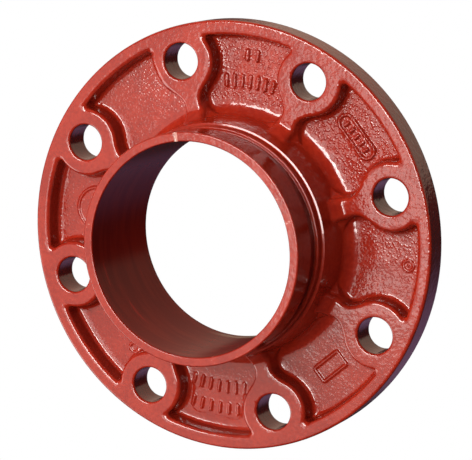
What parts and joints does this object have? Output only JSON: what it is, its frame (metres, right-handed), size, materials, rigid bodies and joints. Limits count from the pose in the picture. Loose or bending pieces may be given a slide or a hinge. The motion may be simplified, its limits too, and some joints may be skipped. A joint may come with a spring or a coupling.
{
  "type": "grooved flange adaptor",
  "caption": "Cast pipe flange adaptor in red enamel: a bolted flange with bosses and radial ribs round a short grooved pipe end.",
  "frame": {"origin": "centre of the joint face, on the pipe axis", "axes": "+Z along the pipe axis, from the joint face towards the grooved pipe end; the X axis runs midway between two bolt holes"},
  "size_m": [0.215, 0.215, 0.0605],
  "materials": {
    "paint_gloss": "gloss red enamel over cast iron, orange peel",
    "paint_cast": "gloss red enamel over rough as-cast skin",
    "joint_face": "thin red paint over a turned face"
  },
  "bodies": {
    "root": {"hub": "paint_gloss", "flange_web": "paint_cast", "outer_rim": "paint_gloss", "joint_face": "joint_face", "groove_neck": "paint_gloss", "gasket_seat": "paint_gloss", "cast_pad": "paint_cast", "cast_medallion": "paint_cast", "bolt_boss_1": "paint_gloss", "bolt_boss_2": "paint_gloss", "bolt_boss_3": "paint_gloss", "bolt_boss_4": "paint_gloss", "bolt_boss_5": "paint_gloss", "bolt_boss_6": "paint_gloss", "bolt_boss_7": "paint_gloss", "bolt_boss_8": "paint_gloss", "rib_1": "paint_gloss", "rib_2": "paint_gloss", "rib_3": "paint_gloss", "rib_4": "paint_gloss", "rib_5": "paint_gloss", "rib_6": "paint_gloss", "rib_7": "paint_gloss", "rib_8": "paint_gloss"}
  },
  "joints": []
}
